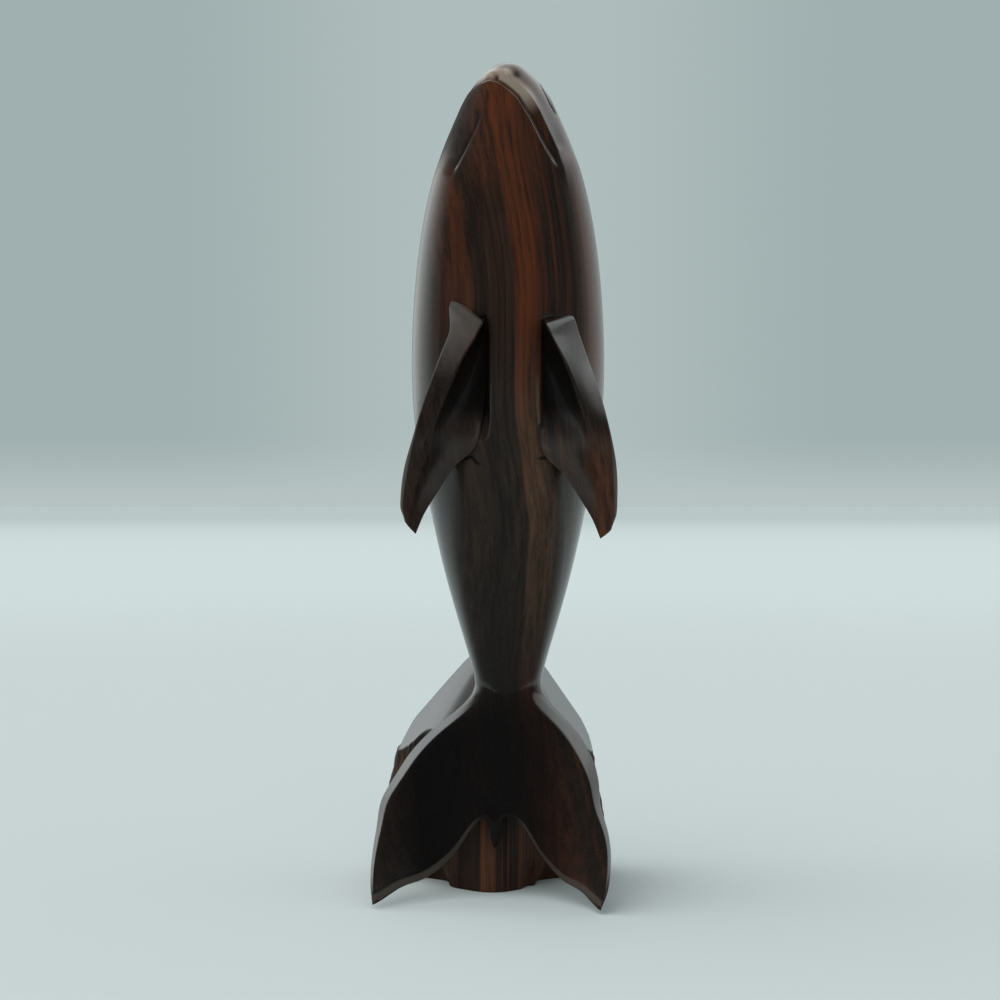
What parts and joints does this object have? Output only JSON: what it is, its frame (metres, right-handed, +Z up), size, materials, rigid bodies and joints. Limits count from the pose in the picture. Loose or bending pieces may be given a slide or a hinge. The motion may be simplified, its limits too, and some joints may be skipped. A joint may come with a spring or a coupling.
{
  "type": "wooden dolphin figurine",
  "caption": "Polished dark hardwood dolphin carved standing upright on its flukes, belly forward, on a natural-edged wooden base; a decorative figurine for a shelf or desk.",
  "frame": {"origin": "on the floor face of the base, straight under the body axis", "axes": "+Z up along the body towards the snout, -Y towards the belly and the viewer of the picture, +X to the right of that picture"},
  "size_m": [0.0728, 0.1039, 0.2485],
  "materials": {
    "body_wood": "waxed and polished, near-black brown with red-brown stripes along the body",
    "flipper_wood": "waxed and polished, dark brown with reddish tips",
    "fin_wood": "waxed and polished, dark brown",
    "base_wood": "polished top slopes, rough natural sides",
    "eye_wood": "polished, nearly black",
    "dowel_wood": "plain turned dowel, unfinished"
  },
  "bodies": {
    "root": {"dolphin_body": "body_wood", "left_flipper": "flipper_wood", "right_flipper": "flipper_wood", "dorsal_fin": "fin_wood", "base": "base_wood", "left_eye": "eye_wood", "right_eye": "eye_wood", "tail_dowel": "dowel_wood", "left_flipper_peg": "dowel_wood", "right_flipper_peg": "dowel_wood", "dorsal_peg_upper": "dowel_wood", "dorsal_peg_lower": "dowel_wood"}
  },
  "joints": []
}
